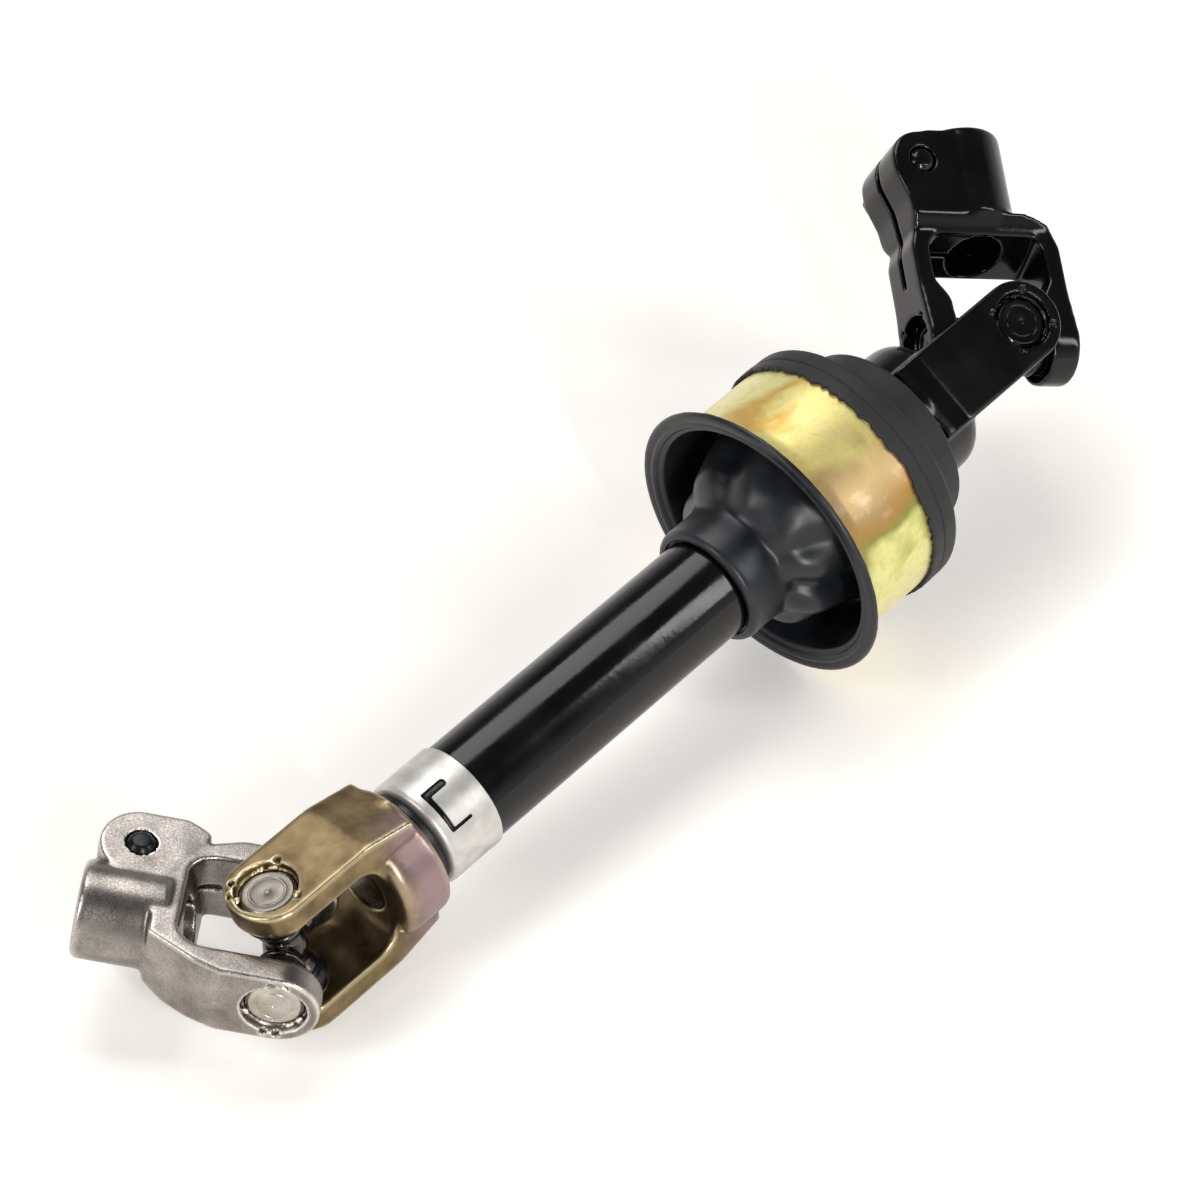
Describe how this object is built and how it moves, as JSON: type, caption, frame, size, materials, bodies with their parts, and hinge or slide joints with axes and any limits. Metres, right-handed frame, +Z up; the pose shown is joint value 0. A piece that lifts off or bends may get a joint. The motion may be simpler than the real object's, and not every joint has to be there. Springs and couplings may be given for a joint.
{
  "type": "intermediate steering shaft",
  "caption": "Telescoping intermediate steering shaft with a splined clamp yoke on a universal joint at each end and a rubber sealed floor hole cover on its tube.",
  "frame": {"origin": "centre of the bounding box's footprint, on the surface that the part lies on", "axes": "+X from the lower clamp end towards the upper clamp end, along the ground line of the shaft; +Z up; the shaft's own axis rises 6.2 degrees from +X"},
  "size_m": [0.3932, 0.112, 0.1032],
  "materials": {
    "black_paint": "gloss black paint, slight orange peel",
    "forged_steel": "bare forged and shot blasted steel, satin",
    "yellow_zinc_steel": "yellow zinc over steel, olive gold",
    "yellow_chromate": "pale yellow chromate on sheet steel, patchy",
    "pale_zinc_sheet": "matte zinc plated sheet",
    "ground_steel": "ground bearing steel, oiled",
    "cup_steel": "drawn bearing steel, satin",
    "black_oxide": "black oxide on a bolt",
    "black_rubber": "charcoal rubber, matte",
    "boot_rubber": "dark grey rubber, soft sheen",
    "natural_plastic": "natural acetal"
  },
  "bodies": {
    "outer_shaft": {"outer_tube": "black_paint", "tube_end_cap": "pale_zinc_sheet", "tube_dust_seal": "black_rubber", "slide_sleeve": "natural_plastic", "upper_shaft_yoke": "black_paint", "upper_shaft_ear_a_bearing_cup": "black_paint", "upper_shaft_ear_a_trunnion_seal": "black_rubber", "upper_shaft_ear_a_needle_cage": "ground_steel", "upper_shaft_ear_b_bearing_cup": "black_paint", "upper_shaft_ear_b_trunnion_seal": "black_rubber", "upper_shaft_ear_b_needle_cage": "ground_steel"},
    "lower_shaft": {"spline_shaft": "ground_steel", "lower_shaft_yoke": "yellow_zinc_steel", "lower_shaft_ear_a_bearing_cup": "cup_steel", "lower_shaft_ear_a_trunnion_seal": "black_rubber", "lower_shaft_ear_a_needle_cage": "ground_steel", "lower_shaft_ear_b_bearing_cup": "cup_steel", "lower_shaft_ear_b_trunnion_seal": "black_rubber", "lower_shaft_ear_b_needle_cage": "ground_steel"},
    "lower_spider": {"lower_cross": "ground_steel"},
    "lower_clamp": {"lower_clamp_yoke": "forged_steel", "lower_pinch_bolt": "black_oxide", "lower_clamp_ear_a_bearing_cup": "cup_steel", "lower_clamp_ear_a_trunnion_seal": "black_rubber", "lower_clamp_ear_a_needle_cage": "ground_steel", "lower_clamp_ear_b_bearing_cup": "cup_steel", "lower_clamp_ear_b_trunnion_seal": "black_rubber", "lower_clamp_ear_b_needle_cage": "ground_steel"},
    "upper_spider": {"upper_cross": "ground_steel"},
    "upper_clamp": {"upper_clamp_yoke": "black_paint", "upper_pinch_bolt": "black_oxide", "upper_clamp_ear_a_bearing_cup": "black_paint", "upper_clamp_ear_a_trunnion_seal": "black_rubber", "upper_clamp_ear_a_needle_cage": "ground_steel", "upper_clamp_ear_b_bearing_cup": "black_paint", "upper_clamp_ear_b_trunnion_seal": "black_rubber", "upper_clamp_ear_b_needle_cage": "ground_steel"},
    "hole_cover": {"cover_ring": "yellow_chromate", "cover_boot": "boot_rubber", "rear_cover": "black_rubber", "front_bush": "natural_plastic", "rear_bush": "natural_plastic"}
  },
  "joints": [
    {"name": "telescope", "type": "slide", "parent": "outer_shaft", "child": "lower_shaft", "axis": [-0.9942, 0, -0.108], "range_m": [0, 0.03]},
    {"name": "lower_joint_swing", "type": "hinge", "parent": "lower_shaft", "child": "lower_spider", "pos_m": [-0.15099, -0.00971, 0.02516], "axis": [0.1073, -0.1149, -0.9876], "range_deg": [-103.9, 4.1]},
    {"name": "lower_joint_nod", "type": "hinge", "parent": "lower_spider", "child": "lower_clamp", "pos_m": [-0.15099, -0.00971, 0.02516], "axis": [0.7684, 0.6399, 0.009], "range_deg": [-45.3, 4.7]},
    {"name": "upper_joint_swing", "type": "hinge", "parent": "outer_shaft", "child": "upper_spider", "pos_m": [0.14656, -0.00971, 0.05749], "axis": [0.0898, 0.5563, -0.8261], "range_deg": [-1.5, 108.5]},
    {"name": "upper_joint_nod", "type": "hinge", "parent": "upper_spider", "child": "upper_clamp", "pos_m": [0.14656, -0.00971, 0.05749], "axis": [-0.8349, 0.4943, 0.2421], "range_deg": [-35, 25]},
    {"name": "cover_turn", "type": "hinge", "parent": "outer_shaft", "child": "hole_cover", "pos_m": [0.05778, -0.00971, 0.04784], "axis": [0.9942, 0, 0.108], "continuous": true}
  ]
}
